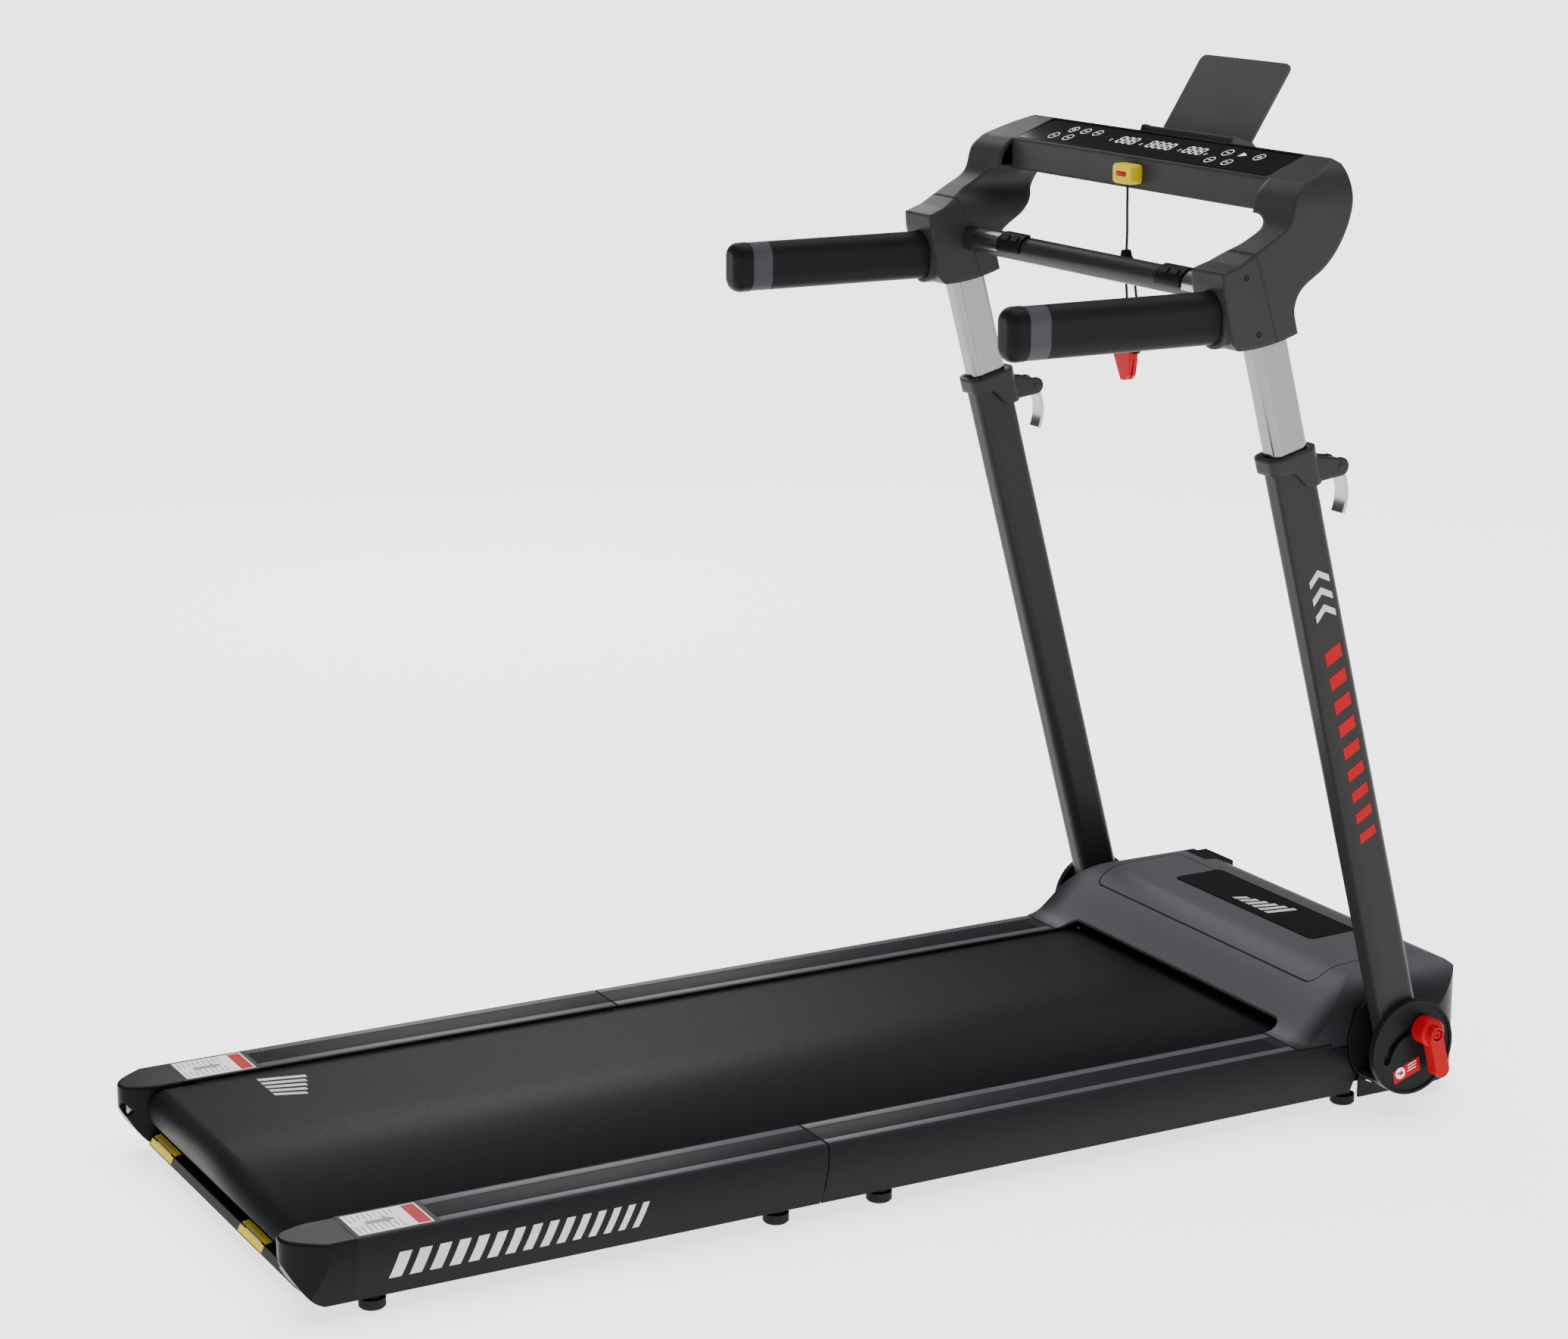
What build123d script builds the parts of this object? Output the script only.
from build123d import *
from math import cos, pi, radians, sin, tan
import os

os.makedirs("parts", exist_ok=True)

# A folding treadmill. X is across the deck with +X on the user's right, +Y runs forward to the
# console, and Z is up from the floor. The deck is symmetric about X = 0.

# ---------------------------------------------------------------- driving dimensions, millimetres
FOLD_Y = -127.9             # the line where the two halves of the deck meet
FOLD_Z = 88.0               # fold axis, just above the rail tops
FOLD_GAP = 0.75             # each half stops this far from the fold line
REAR_TIP = -598.0           # these are distances ahead of the fold line
CAP_SEAM = -527.0
RAIL_END = 690.0
HOOD_LIP = 629.0
HOOD_REAR = 603.0
HOOD_FRONT = 850.0

RAIL_TOP = 87.5
RAIL_FOOT = 16.0
RAIL_BULGE = 284.0          # half width of the deck at its widest
RAIL_WALL = 3.0
BELT_OPENING = 218.5        # half width between the rail covers

BELT_HALF = 214.0
BELT_THICK = 1.8
ROLLER_R = 21.0
ROLLER_HALF = 216.5
ROLLER_Z = 61.2
REAR_ROLLER_Y = -548.0
FRONT_ROLLER_Y = 672.0
AXLE_R = 7.5
RUNNING_FIT = 0.05          # radial clearance of a shaft in its bore

TUBE_X = 251.5              # centre of the deck's side tubes
TUBE_WIDTH = 27.0
TUBE_LOW = 28.0
TUBE_HIGH = 64.0
WELD_GAP = 0.1              # cross tubes stop this far from the side tubes
TUBE_INNER = TUBE_X - TUBE_WIDTH / 2
TUBE_OUTER = TUBE_X + TUBE_WIDTH / 2
WHEEL_Z = 24.0
WHEEL_R = 17.0
WHEEL_INNER = 218.0
WHEEL_WIDTH = 14.0
ROD_R = 3.5
BOARD_LOW = 68.0
BOARD_HIGH = 82.0
BOARD_HALF = 258.0

PIVOT_Y = FOLD_Y + 733.0    # the mast turns about this line
PIVOT_Z = 65.0
MAST_LEAN = 15.0            # degrees back from upright
MAST_X = 303.0
MAST_WIDTH = 35.0
MAST_DEPTH = 50.0
MAST_WALL = 1.5
MAST_CORNER = 11.0
MAST_LENGTH = 722.0
CHROME_WIDTH = 31.0
CHROME_DEPTH = 44.0
CHROME_CORNER = 9.0
CHROME_LOW = 560.0
CHROME_HIGH = 930.0
SLOT_R = 40.3               # the locking bolt rides in an arc of this radius
BOLT_ANGLE = 80.0           # degrees from +Y towards +Z
SLOT_SWEEP = 89.0
BOLT_R = 4.0
PIN_R = 6.0

COVER_Y = FOLD_Y + 728.0    # round covers over the mast's foot
COVER_Z = 84.0
COVER_R = 55.5
COVER_INNER_X = 279.0
COVER_OUTER_X = 321.5

LEVER_UP = 701.0            # clamp lever pin: up the mast and forward of it
LEVER_FORWARD = 57.0

HANDLE_X = 296.0
HANDLE_Z = 925.0
BAR_Y = FOLD_Y + 499.0      # crossbar
BAR_Z = 944.0
BAR_R = 14.5

SCREEN_TILT = 20.0
TRAY_HALF = 86.0
PLATE_THICK = 5.0
PLATE_LENGTH = 108.0
PLATE_RISE = 57.4           # degrees above level
PLATE_PIVOT_Y = FOLD_Y + 638.0
PLATE_PIVOT_Z = 1072.0

LEAN_SIN = sin(radians(MAST_LEAN))
LEAN_COS = cos(radians(MAST_LEAN))


# ---------------------------------------------------------------- planes and shared sections
def ahead(distance):
    """Y of a place this far ahead of the fold line."""
    return FOLD_Y + distance


def across(y):
    """Plane across the deck at this Y. Sketch x is X, sketch y is Z. It faces the rear."""
    return Plane.XZ.offset(-y)


def along(x):
    """Plane along the deck at this X. Sketch x is Y, sketch y is Z. It faces +X."""
    return Plane.YZ.offset(x)


def up_the_mast(distance, x=0.0, forward=0.0):
    """Plane square to the mast. Sketch x is X, sketch y points forward of the mast."""
    y = PIVOT_Y - distance * LEAN_SIN + forward * LEAN_COS
    z = PIVOT_Z + distance * LEAN_COS + forward * LEAN_SIN
    return Plane(origin=(x, y, z), x_dir=(1, 0, 0), z_dir=(0, -LEAN_SIN, LEAN_COS))


def beside_the_mast(x):
    """Plane facing +X at the pivot. Sketch x points forward of the mast, sketch y up it."""
    return Plane(origin=(x, PIVOT_Y, PIVOT_Z), x_dir=(0, LEAN_COS, LEAN_SIN), z_dir=(1, 0, 0))


def radial_plane(x, distance, angle):
    """Plane facing out from the crossbar's axis at this angle from +Y towards +Z."""
    y = BAR_Y + distance * cos(radians(angle))
    z = BAR_Z + distance * sin(radians(angle))
    return Plane(origin=(x, y, z), x_dir=(1, 0, 0), z_dir=(0, cos(radians(angle)), sin(radians(angle))))


def ring_sector(centre, inner, outer, start, sweep):
    """Sketch face between two radii and two angles about a centre."""
    spokes = []
    for angle in (start, start + sweep):
        direction = Vector(cos(radians(angle)), sin(radians(angle)))
        spokes.append([Vector(*centre) + direction * radius for radius in (inner, outer)])
    with BuildLine() as outline:
        CenterArc(centre, outer, start, sweep)
        CenterArc(centre, inner, start, sweep)
        for spoke in spokes:
            Line(*spoke)
    make_face(outline.edges())


def bolt_place(angle):
    """Sketch place, on a plane along the deck, on the locking bolt's arc."""
    return (PIVOT_Y + SLOT_R * cos(radians(angle)), PIVOT_Z + SLOT_R * sin(radians(angle)))


def moved_in(points, distance):
    """A line's points, each moved this far to the right of the way the line runs."""
    corners = [Vector(*point) for point in points]
    moved = []
    for before, here, after in zip(corners[:1] + corners, corners, corners[1:] + corners[-1:]):
        moved.append(here + (after - before).normalized().rotate(Axis.Z, -90) * distance)
    return moved


def side_tubes(start, end):
    """The two steel box tubes that carry one half of the deck."""
    with BuildSketch(across(start)) as section:
        with Locations((-TUBE_X, (TUBE_LOW + TUBE_HIGH) / 2), (TUBE_X, (TUBE_LOW + TUBE_HIGH) / 2)):
            Rectangle(TUBE_WIDTH, TUBE_HIGH - TUBE_LOW)
            Rectangle(TUBE_WIDTH - 4, TUBE_HIGH - TUBE_LOW - 4, mode=Mode.SUBTRACT)
    extrude(section.sketch, amount=start - end)


def cross_tubes(centres):
    """Flat box tubes between the side tubes, under the belt's return run."""
    for centre in centres:
        with BuildSketch(along(-TUBE_INNER + WELD_GAP)) as section:
            with Locations((centre, 28.0)):
                Rectangle(32, 16)
                Rectangle(28, 12, mode=Mode.SUBTRACT)
        extrude(section.sketch, amount=2 * (TUBE_INNER - WELD_GAP))


def hinge_bodies(side):
    """Grooved blocks of the concealed fold hinges. Side is +1 ahead of the fold, -1 behind it."""
    near = FOLD_Y + side * FOLD_GAP
    far = FOLD_Y + side * 32.0
    with Locations((TUBE_X, (near + far) / 2, 73.9), (-TUBE_X, (near + far) / 2, 73.9)):
        Box(22, abs(far - near), 19.2)
    for x in (-TUBE_X, TUBE_X):
        with BuildSketch(along(x - 5.0)) as groove:
            with Locations((FOLD_Y, FOLD_Z)):
                Circle(18.6)
        extrude(groove.sketch, amount=10.0, mode=Mode.SUBTRACT)


def running_board(start, end, notch):
    """Laminated board under the belt. The notch clears the hinges at the fold."""
    with Locations((0, (start + end) / 2, (BOARD_LOW + BOARD_HIGH) / 2)):
        Box(2 * BOARD_HALF, end - start, BOARD_HIGH - BOARD_LOW)
    with Locations((BOARD_HALF, notch, BOARD_LOW), (-BOARD_HALF, notch, BOARD_LOW)):
        Box(50, 72, 60, mode=Mode.SUBTRACT)


def cushions(places):
    """Rubber buffers between the side tubes and the running board."""
    with BuildSketch(Plane.XY.offset(TUBE_HIGH)) as discs:
        for y in places:
            with Locations((-TUBE_X, y), (TUBE_X, y)):
                Circle(9)
    extrude(discs.sketch, amount=BOARD_LOW - TUBE_HIGH)


def feet(places):
    """Rubber feet: a stem up to the side tube and a wider pad on the floor."""
    spots = [(side * 252, y) for side in (-1, 1) for y in places]
    with BuildSketch(Plane.XY) as pads:
        with Locations(*spots):
            Circle(14)
    extrude(pads.sketch, amount=11.0)
    with BuildSketch(Plane.XY.offset(11.0)) as stems:
        with Locations(*spots):
            Circle(9)
    extrude(stems.sketch, amount=TUBE_LOW - 11.0)
    chamfer(faces().filter_by(Axis.Z).group_by(Axis.Z)[0].edges(), length=2.0)


# the rail's section on the right side, from the belt opening round to its foot
RAIL_SECTION = [
    (BELT_OPENING, RAIL_TOP), (RAIL_BULGE - 3.0, RAIL_TOP), (RAIL_BULGE - 0.6, RAIL_TOP - 2.0),
    (RAIL_BULGE, 74.0), (RAIL_BULGE - 4.5, 49.0), (RAIL_BULGE - 17.5, RAIL_FOOT),
]


def rail_outline(points):
    """The rail's top and outer side through these points."""
    Polyline(*points[:3])
    Spline(points[2:])


def rail_covers(start, end):
    """Hollow covers over the side tubes, one on each side."""
    inner = moved_in(RAIL_SECTION, RAIL_WALL)
    with BuildSketch(across(start)) as section:
        with BuildLine():
            rail_outline(RAIL_SECTION)
            rail_outline(inner)
            Line(RAIL_SECTION[0], inner[0])
            Line(RAIL_SECTION[-1], inner[-1])
        make_face()
    extrude(section.sketch, amount=start - end)
    mirror(about=Plane.YZ)


def belt_half(roller_y, end, side):
    """One half of the belt's loop, open at the fold. Side is +1 for the front half."""
    outer = ROLLER_R + BELT_THICK
    with BuildSketch(along(-BELT_HALF)) as section:
        with Locations((roller_y, ROLLER_Z)):
            Circle(outer)
        with Locations(((roller_y + end) / 2, ROLLER_Z)):
            Rectangle(abs(roller_y - end), 2 * outer)
        with Locations((roller_y, ROLLER_Z)):
            Circle(ROLLER_R + 0.02, mode=Mode.SUBTRACT)
        with Locations(((roller_y + end - 8 * side) / 2, ROLLER_Z)):
            Rectangle(abs(roller_y - end) + 8, 2 * ROLLER_R + 0.04, mode=Mode.SUBTRACT)
    extrude(section.sketch, amount=2 * BELT_HALF)


def roller_tube(y):
    """A hollow roller with a ball bearing pressed into each end."""
    with BuildSketch(along(-ROLLER_HALF)) as tube:
        with Locations((y, ROLLER_Z)):
            Circle(ROLLER_R)
            Circle(ROLLER_R - 2.5, mode=Mode.SUBTRACT)
    extrude(tube.sketch, amount=2 * ROLLER_HALF)
    for x in (-ROLLER_HALF, ROLLER_HALF - 10.0):
        with BuildSketch(along(x)) as bearing:
            with Locations((y, ROLLER_Z)):
                Circle(ROLLER_R - 2.5)
                Circle(AXLE_R + RUNNING_FIT, mode=Mode.SUBTRACT)
        extrude(bearing.sketch, amount=10.0)


def pulley(x, y, z, radius, bore, width):
    """A grooved belt pulley on an axis along X."""
    with BuildSketch(along(x)) as disc:
        with Locations((y, z)):
            Circle(radius)
            Circle(bore, mode=Mode.SUBTRACT)
    extrude(disc.sketch, amount=width)


def axle(y, half):
    """A fixed steel axle right across the deck."""
    with BuildSketch(along(-half)) as end:
        with Locations((y, ROLLER_Z)):
            Circle(AXLE_R)
    extrude(end.sketch, amount=2 * half)


# ---------------------------------------------------------------- front half of the deck
WHEEL_Y = ahead(812)
FRONT_START = FOLD_Y + FOLD_GAP
REAR_END = FOLD_Y - FOLD_GAP

with BuildPart() as front_frame:
    side_tubes(FRONT_START, ahead(829))
    cross_tubes([ahead(40), ahead(300), ahead(560), ahead(726), ahead(775)])
    hinge_bodies(1)
    # plates that carry the front axle
    with BuildSketch(along(TUBE_INNER - 4)):
        with Locations((ahead(FRONT_ROLLER_Y), 57)):
            Rectangle(40, 46)
        with Locations((ahead(FRONT_ROLLER_Y), ROLLER_Z)):
            Circle(AXLE_R, mode=Mode.SUBTRACT)
    extrude(amount=4)
    # upright pivot plates on the outside of the side tubes, and their bosses
    with BuildSketch(along(TUBE_OUTER)):
        with Locations((PIVOT_Y, PIVOT_Z)):
            Circle(32)
        with Locations((PIVOT_Y, PIVOT_Z - 18)):
            Rectangle(64, 36)
        with Locations((PIVOT_Y, PIVOT_Z)):
            Circle(PIN_R, mode=Mode.SUBTRACT)
    extrude(amount=5)
    with BuildSketch(along(TUBE_OUTER + 5)):
        with Locations((PIVOT_Y, PIVOT_Z)):
            Circle(13)
            Circle(PIN_R, mode=Mode.SUBTRACT)
    extrude(amount=COVER_INNER_X - TUBE_OUTER - 5)
    # hanger plates for the transport wheels, inside the side tubes
    with BuildSketch(along(TUBE_INNER - 4)):
        with Locations((WHEEL_Y, 38)):
            Rectangle(24, 48)
        with Locations((WHEEL_Y, WHEEL_Z)):
            Circle(ROD_R + RUNNING_FIT, mode=Mode.SUBTRACT)
    extrude(amount=4)
    mirror(about=Plane.YZ)
    # tray for the motor and the control board, on the two front cross tubes
    with Locations((0, ahead(770), 37.5)):
        Box(410, 120, 3)

with BuildPart() as front_running_board:
    running_board(FRONT_START, ahead(636), FRONT_START)

with BuildPart() as front_cushions:
    cushions([ahead(70), ahead(330), ahead(600)])

with BuildPart() as front_feet:
    feet([ahead(79), ahead(691)])

with BuildPart() as front_rail_covers:
    rail_covers(FRONT_START, ahead(RAIL_END))
    # the top stops under the hood, and the sides stop at the pivot covers
    with Locations((0, ahead(RAIL_END), RAIL_TOP)):
        Box(700, 2 * (RAIL_END - 650), 14.0, mode=Mode.SUBTRACT)
    with BuildSketch(along(-330)):
        with Locations((COVER_Y, COVER_Z)):
            Circle(COVER_R + 1.5)
    extrude(amount=660, mode=Mode.SUBTRACT)

with BuildPart() as belt_front:
    belt_half(ahead(FRONT_ROLLER_Y), FRONT_START, 1)

with BuildPart() as front_axle:
    axle(ahead(FRONT_ROLLER_Y), TUBE_INNER)

PULLEY_X = 223.0
PULLEY_WIDTH = 9.0
DRIVEN_R = 28.0
DRIVE_R = 11.0
MOTOR_Y = ahead(776)
MOTOR_Z = 84.0

with BuildPart() as front_roller:
    roller_tube(ahead(FRONT_ROLLER_Y))
    # driven pulley, pressed on the roller's right end
    pulley(PULLEY_X - 6.5, ahead(FRONT_ROLLER_Y), ROLLER_Z, 12.0, AXLE_R + RUNNING_FIT, 6.5)
    pulley(PULLEY_X, ahead(FRONT_ROLLER_Y), ROLLER_Z, DRIVEN_R, AXLE_R + RUNNING_FIT, PULLEY_WIDTH)

with BuildPart() as motor_can:
    with BuildSketch(along(40)):
        with Locations((MOTOR_Y, MOTOR_Z)):
            Circle(38)
            Circle(35, mode=Mode.SUBTRACT)
    extrude(amount=150)
    for x in (36, 190):
        with BuildSketch(along(x)):
            with Locations((MOTOR_Y, MOTOR_Z)):
                Circle(38)
                Circle(5 + RUNNING_FIT, mode=Mode.SUBTRACT)
        extrude(amount=4)
    # saddle feet that bolt the motor to its tray
    with Locations((70, MOTOR_Y, 43.5), (160, MOTOR_Y, 43.5)):
        Box(22, 70, 9)

with BuildPart() as motor_rotor:
    with BuildSketch(along(34)):
        with Locations((MOTOR_Y, MOTOR_Z)):
            Circle(5)
    extrude(amount=PULLEY_X + PULLEY_WIDTH - 34)
    with BuildSketch(along(48)):
        with Locations((MOTOR_Y, MOTOR_Z)):
            Circle(30)
            Circle(5, mode=Mode.SUBTRACT)
    extrude(amount=130)
    pulley(PULLEY_X, MOTOR_Y, MOTOR_Z, DRIVE_R, 5.0, PULLEY_WIDTH)
    pulley(PULLEY_X - 14.0, MOTOR_Y, MOTOR_Z, 32.0, 5.0, 8.0)


def drive_loop(clearance):
    """The outline round both pulleys at this distance from their rims."""
    with BuildSketch() as loop:
        with Locations((ahead(FRONT_ROLLER_Y), ROLLER_Z)):
            Circle(DRIVEN_R + clearance)
        with Locations((MOTOR_Y, MOTOR_Z)):
            Circle(DRIVE_R + clearance)
        make_hull()
    return loop.sketch


with BuildPart() as drive_belt:
    with BuildSketch(along(PULLEY_X + 0.5)):
        add(drive_loop(2.6))
        add(drive_loop(0.1), mode=Mode.SUBTRACT)
    extrude(amount=PULLEY_WIDTH - 1.0)

with BuildPart() as control_board:
    with Locations((-95, ahead(776), 48)):
        Box(150, 90, 2)
    with Locations((-150, ahead(790), 61), (-110, ahead(750), 59), (-60, ahead(760), 57)):
        Box(24, 30, 20)
    with BuildSketch(Plane.XY.offset(49)):
        with Locations((-80, ahead(800)), (-50, ahead(800))):
            Circle(9)
    extrude(amount=26)
    with Locations((-165, ahead(738), 43.0), (-25, ahead(738), 43.0),
                   (-165, ahead(814), 43.0), (-25, ahead(814), 43.0)):
        Cylinder(3, 8)

with BuildPart() as belly_pan:
    with BuildSketch(Plane.XY.offset(14)):
        with Locations((0, ahead(771))):
            RectangleRounded(410, 114, 12)
    extrude(amount=3)
    with BuildSketch(Plane.XY.offset(17)):
        with Locations((0, ahead(771))):
            RectangleRounded(410, 114, 12)
            RectangleRounded(406, 110, 10, mode=Mode.SUBTRACT)
    extrude(amount=3)


# ---------------------------------------------------------------- motor hood
HOOD_HALF = 283.0
HOOD_TOP = 155.5
HOOD_SKIRT = 81.0
SHOULDER_R = 58.0
FRONT_CORNER_R = 58.0


# the hood's side line, from its rear lip over the top and down its front
HOOD_LINE = [
    (ahead(HOOD_REAR), RAIL_TOP + 0.5), (ahead(HOOD_LIP), 99.5), (ahead(658), 128), (ahead(689), 149.5),
    (ahead(724), HOOD_TOP - 1.5), (ahead(800), HOOD_TOP), (ahead(836), 146), (ahead(HOOD_FRONT), 104),
    (ahead(HOOD_FRONT - 6), 40), (ahead(HOOD_FRONT - 14), RAIL_FOOT),
]


def hood_form(inset):
    """The hood's form, this far inside its outer face, with the space down to the floor below it."""
    line = moved_in(HOOD_LINE, inset)
    with BuildPart() as form:
        with BuildSketch(along(-300)):
            with BuildLine():
                Spline(line[:5], tangents=[(1, 0.05), (1, 0.04)])
                Line(line[4], line[5])
                Spline(line[5:9], tangents=[(1, 0), (-0.15, -1)])
                Polyline(line[8], line[9], (line[9].X, 0), (line[0].X, 0), line[0])
            make_face()
        extrude(amount=600)
        with BuildSketch(across(ahead(560))):
            with Locations((0, HOOD_TOP / 2)):
                Rectangle(2 * (HOOD_HALF - inset), HOOD_TOP + 1 - 2 * inset)
            fillet(vertices().group_by(Axis.Y)[-1], radius=SHOULDER_R - inset)
        extrude(amount=-340, mode=Mode.INTERSECT)
        with BuildSketch(Plane.XY):
            with Locations((0, ahead(HOOD_FRONT - 170 - inset))):
                Rectangle(2 * (HOOD_HALF - inset), 340)
            fillet(vertices().group_by(Axis.Y)[-1], radius=FRONT_CORNER_R - inset)
        extrude(amount=200, mode=Mode.INTERSECT)
    return form.part


def cut_for_covers():
    """Round openings on both sides where the pivot covers sit."""
    with BuildSketch(along(-330)) as left:
        with Locations((COVER_Y, COVER_Z)):
            Circle(COVER_R + 1.5)
    with BuildSketch(along(330)) as right:
        with Locations((COVER_Y, COVER_Z)):
            Circle(COVER_R + 1.5)
    extrude(left.sketch, amount=54, mode=Mode.SUBTRACT)
    extrude(right.sketch, amount=-54, mode=Mode.SUBTRACT)


PANEL_Y = ahead(764)
INLET_X = 150.0
ROCKER_X = 190.0
ROCKER_Y = ahead(841)
PORT_Z = 62.0

with BuildPart() as motor_hood:
    add(hood_form(0))
    add(hood_form(3.0), mode=Mode.SUBTRACT)
    # its lower edge steps up over the rails
    with BuildSketch(along(-300)):
        with BuildLine():
            Polyline(
                (ahead(560), -5), (ahead(860), -5), (ahead(860), RAIL_FOOT), (ahead(RAIL_END), RAIL_FOOT),
                (ahead(RAIL_END), HOOD_SKIRT), (ahead(650), HOOD_SKIRT), (ahead(650), RAIL_TOP + 0.1),
                (ahead(560), RAIL_TOP + 0.1), (ahead(560), -5),
            )
        make_face()
    extrude(amount=600, mode=Mode.SUBTRACT)
    # the mouth over the belt
    with BuildSketch(Plane.XY):
        with Locations((0, ahead(HOOD_LIP - 50))):
            Rectangle(2 * BELT_OPENING, 100)
        fillet(vertices().group_by(Axis.Y)[-1], radius=16)
    extrude(amount=160, mode=Mode.SUBTRACT)
    # a shallow seat for the glossy panel
    with BuildSketch(Plane.XY.offset(HOOD_TOP - 2.6)):
        with Locations((-8, PANEL_Y)):
            RectangleRounded(280, 68, 9)
    extrude(amount=10, mode=Mode.SUBTRACT)
    # ports for the mains inlet and the power rocker
    with Locations((INLET_X, ahead(HOOD_FRONT), PORT_Z)):
        Box(30, 30, 24, mode=Mode.SUBTRACT)
    with Locations((ROCKER_X, ahead(HOOD_FRONT), PORT_Z)):
        Box(20, 30, 24, mode=Mode.SUBTRACT)
    # the fold catch sits in a notch in the front edge
    with Locations((-212, ahead(836), 150)):
        Box(46, 60, 20, mode=Mode.SUBTRACT)
    cut_for_covers()

with BuildPart() as hood_panel:
    with BuildSketch(Plane.XY.offset(HOOD_TOP - 2.6)):
        with Locations((-8, PANEL_Y)):
            RectangleRounded(279, 67, 8.5)
    extrude(amount=2.2)

with BuildPart() as hood_catch:
    with BuildSketch(along(-234)):
        with BuildLine():
            Polyline(
                (ahead(806.5), 153), (ahead(838), 153.5), (ahead(849), 148), (ahead(849), 130),
                (ahead(845), 130), (ahead(845), 143), (ahead(806.5), 143), (ahead(806.5), 153),
            )
        make_face()
    extrude(amount=44)

with BuildPart() as power_inlet:
    with Locations((INLET_X, ahead(840), PORT_Z)):
        Box(29.6, 16, 23.6)
    with Locations((INLET_X, ahead(843), PORT_Z)):
        Box(23, 16, 17, mode=Mode.SUBTRACT)
    with Locations((INLET_X - 7, ahead(839), PORT_Z - 1), (INLET_X, ahead(839), PORT_Z + 3),
                   (INLET_X + 7, ahead(839), PORT_Z - 1)):
        Box(2, 10, 5)
    # surround of the power rocker
    with Locations((ROCKER_X, ahead(840), PORT_Z)):
        Box(19.6, 16, 23.6)
    with Locations((ROCKER_X, ahead(845), PORT_Z)):
        Box(14, 20, 20.4, mode=Mode.SUBTRACT)
    with BuildSketch(along(ROCKER_X - 9)):
        with Locations((ROCKER_Y, PORT_Z)):
            Circle(1.5 + RUNNING_FIT)
    extrude(amount=18, mode=Mode.SUBTRACT)

with BuildPart() as power_rocker:
    with BuildSketch(along(ROCKER_X - 6.5)):
        with BuildLine():
            Polyline(
                (ROCKER_Y - 2, PORT_Z - 7.2), (ROCKER_Y + 5, PORT_Z - 7.2), (ROCKER_Y + 5, PORT_Z),
                (ROCKER_Y + 7.6, PORT_Z + 7.2), (ROCKER_Y - 2, PORT_Z + 7.2),
                (ROCKER_Y - 2, PORT_Z - 7.2),
            )
        make_face()
    extrude(amount=13)
    with BuildSketch(along(ROCKER_X - 9)):
        with Locations((ROCKER_Y, PORT_Z)):
            Circle(1.5)
    extrude(amount=18)

with BuildPart() as pivot_covers:
    with BuildSketch(along(COVER_INNER_X)):
        with Locations((COVER_Y, COVER_Z)):
            Circle(COVER_R)
    extrude(amount=5.5)
    with BuildSketch(along(COVER_INNER_X + 5.5)):
        ring_sector((COVER_Y, COVER_Z), COVER_R - 5, COVER_R, -140, 160)
    extrude(amount=COVER_OUTER_X - COVER_INNER_X - 5.5)
    with BuildSketch(along(COVER_OUTER_X)):
        with Locations((COVER_Y, COVER_Z)):
            Circle(COVER_R)
    extrude(amount=6.5)
    with BuildSketch(along(COVER_OUTER_X + 6.5)):
        with Locations((COVER_Y, COVER_Z)):
            Circle(COVER_R)
            Circle(COVER_R - 4, mode=Mode.SUBTRACT)
    extrude(amount=2)
    fillet(edges().filter_by(GeomType.CIRCLE).group_by(Axis.X)[-1], radius=0.9)
    # the arc that the locking bolt travels in
    with BuildSketch(along(COVER_OUTER_X - 1)):
        ring_sector((PIVOT_Y, PIVOT_Z), SLOT_R - 5, SLOT_R + 5, BOLT_ANGLE, SLOT_SWEEP)
        with Locations(bolt_place(BOLT_ANGLE), bolt_place(BOLT_ANGLE + SLOT_SWEEP)):
            Circle(5)
    extrude(amount=12, mode=Mode.SUBTRACT)
    with BuildSketch(along(COVER_INNER_X - 1)):
        with Locations((PIVOT_Y, PIVOT_Z)):
            Circle(PIN_R)
    extrude(amount=48, mode=Mode.SUBTRACT)
    mirror(about=Plane.YZ)

with BuildPart() as front_fasteners:
    # pivot pins through the frame, the mast feet and the covers
    with BuildSketch(along(TUBE_OUTER)):
        with Locations((PIVOT_Y, PIVOT_Z)):
            Circle(PIN_R)
    extrude(amount=COVER_OUTER_X + 3 - TUBE_OUTER)
    # screws that hold the belly pan to the front cross tubes
    for y in (ahead(726), ahead(775)):
        with BuildSketch(Plane.XY.offset(11.5)):
            with Locations((185, y)):
                Circle(4)
        extrude(amount=2.5)
    mirror(about=Plane.YZ)

# two wheels pressed on one rod, which turns in the hanger plates
with BuildPart() as transport_wheels:
    with BuildSketch(along(WHEEL_INNER)):
        with Locations((WHEEL_Y, WHEEL_Z)):
            Circle(WHEEL_R)
    extrude(amount=WHEEL_WIDTH)
    fillet(edges(), radius=2)
    with BuildSketch(Plane.YZ):
        with Locations((WHEEL_Y, WHEEL_Z)):
            Circle(ROD_R)
    extrude(amount=TUBE_INNER)
    mirror(about=Plane.YZ)


# ---------------------------------------------------------------- rear half of the deck
REAR_AXLE_PLATE = 8.0

with BuildPart() as rear_frame:
    side_tubes(ahead(-560), REAR_END)
    cross_tubes([ahead(-40), ahead(-280), ahead(-510)])
    hinge_bodies(-1)
    # plates that carry the rear axle and its adjusting bolts
    with BuildSketch(along(TUBE_INNER - REAR_AXLE_PLATE)):
        with Locations((ahead(REAR_ROLLER_Y + 6), 55)):
            Rectangle(50, 34)
        with Locations((ahead(REAR_ROLLER_Y), ROLLER_Z)):
            Circle(AXLE_R, mode=Mode.SUBTRACT)
    extrude(amount=REAR_AXLE_PLATE)
    mirror(about=Plane.YZ)

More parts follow.
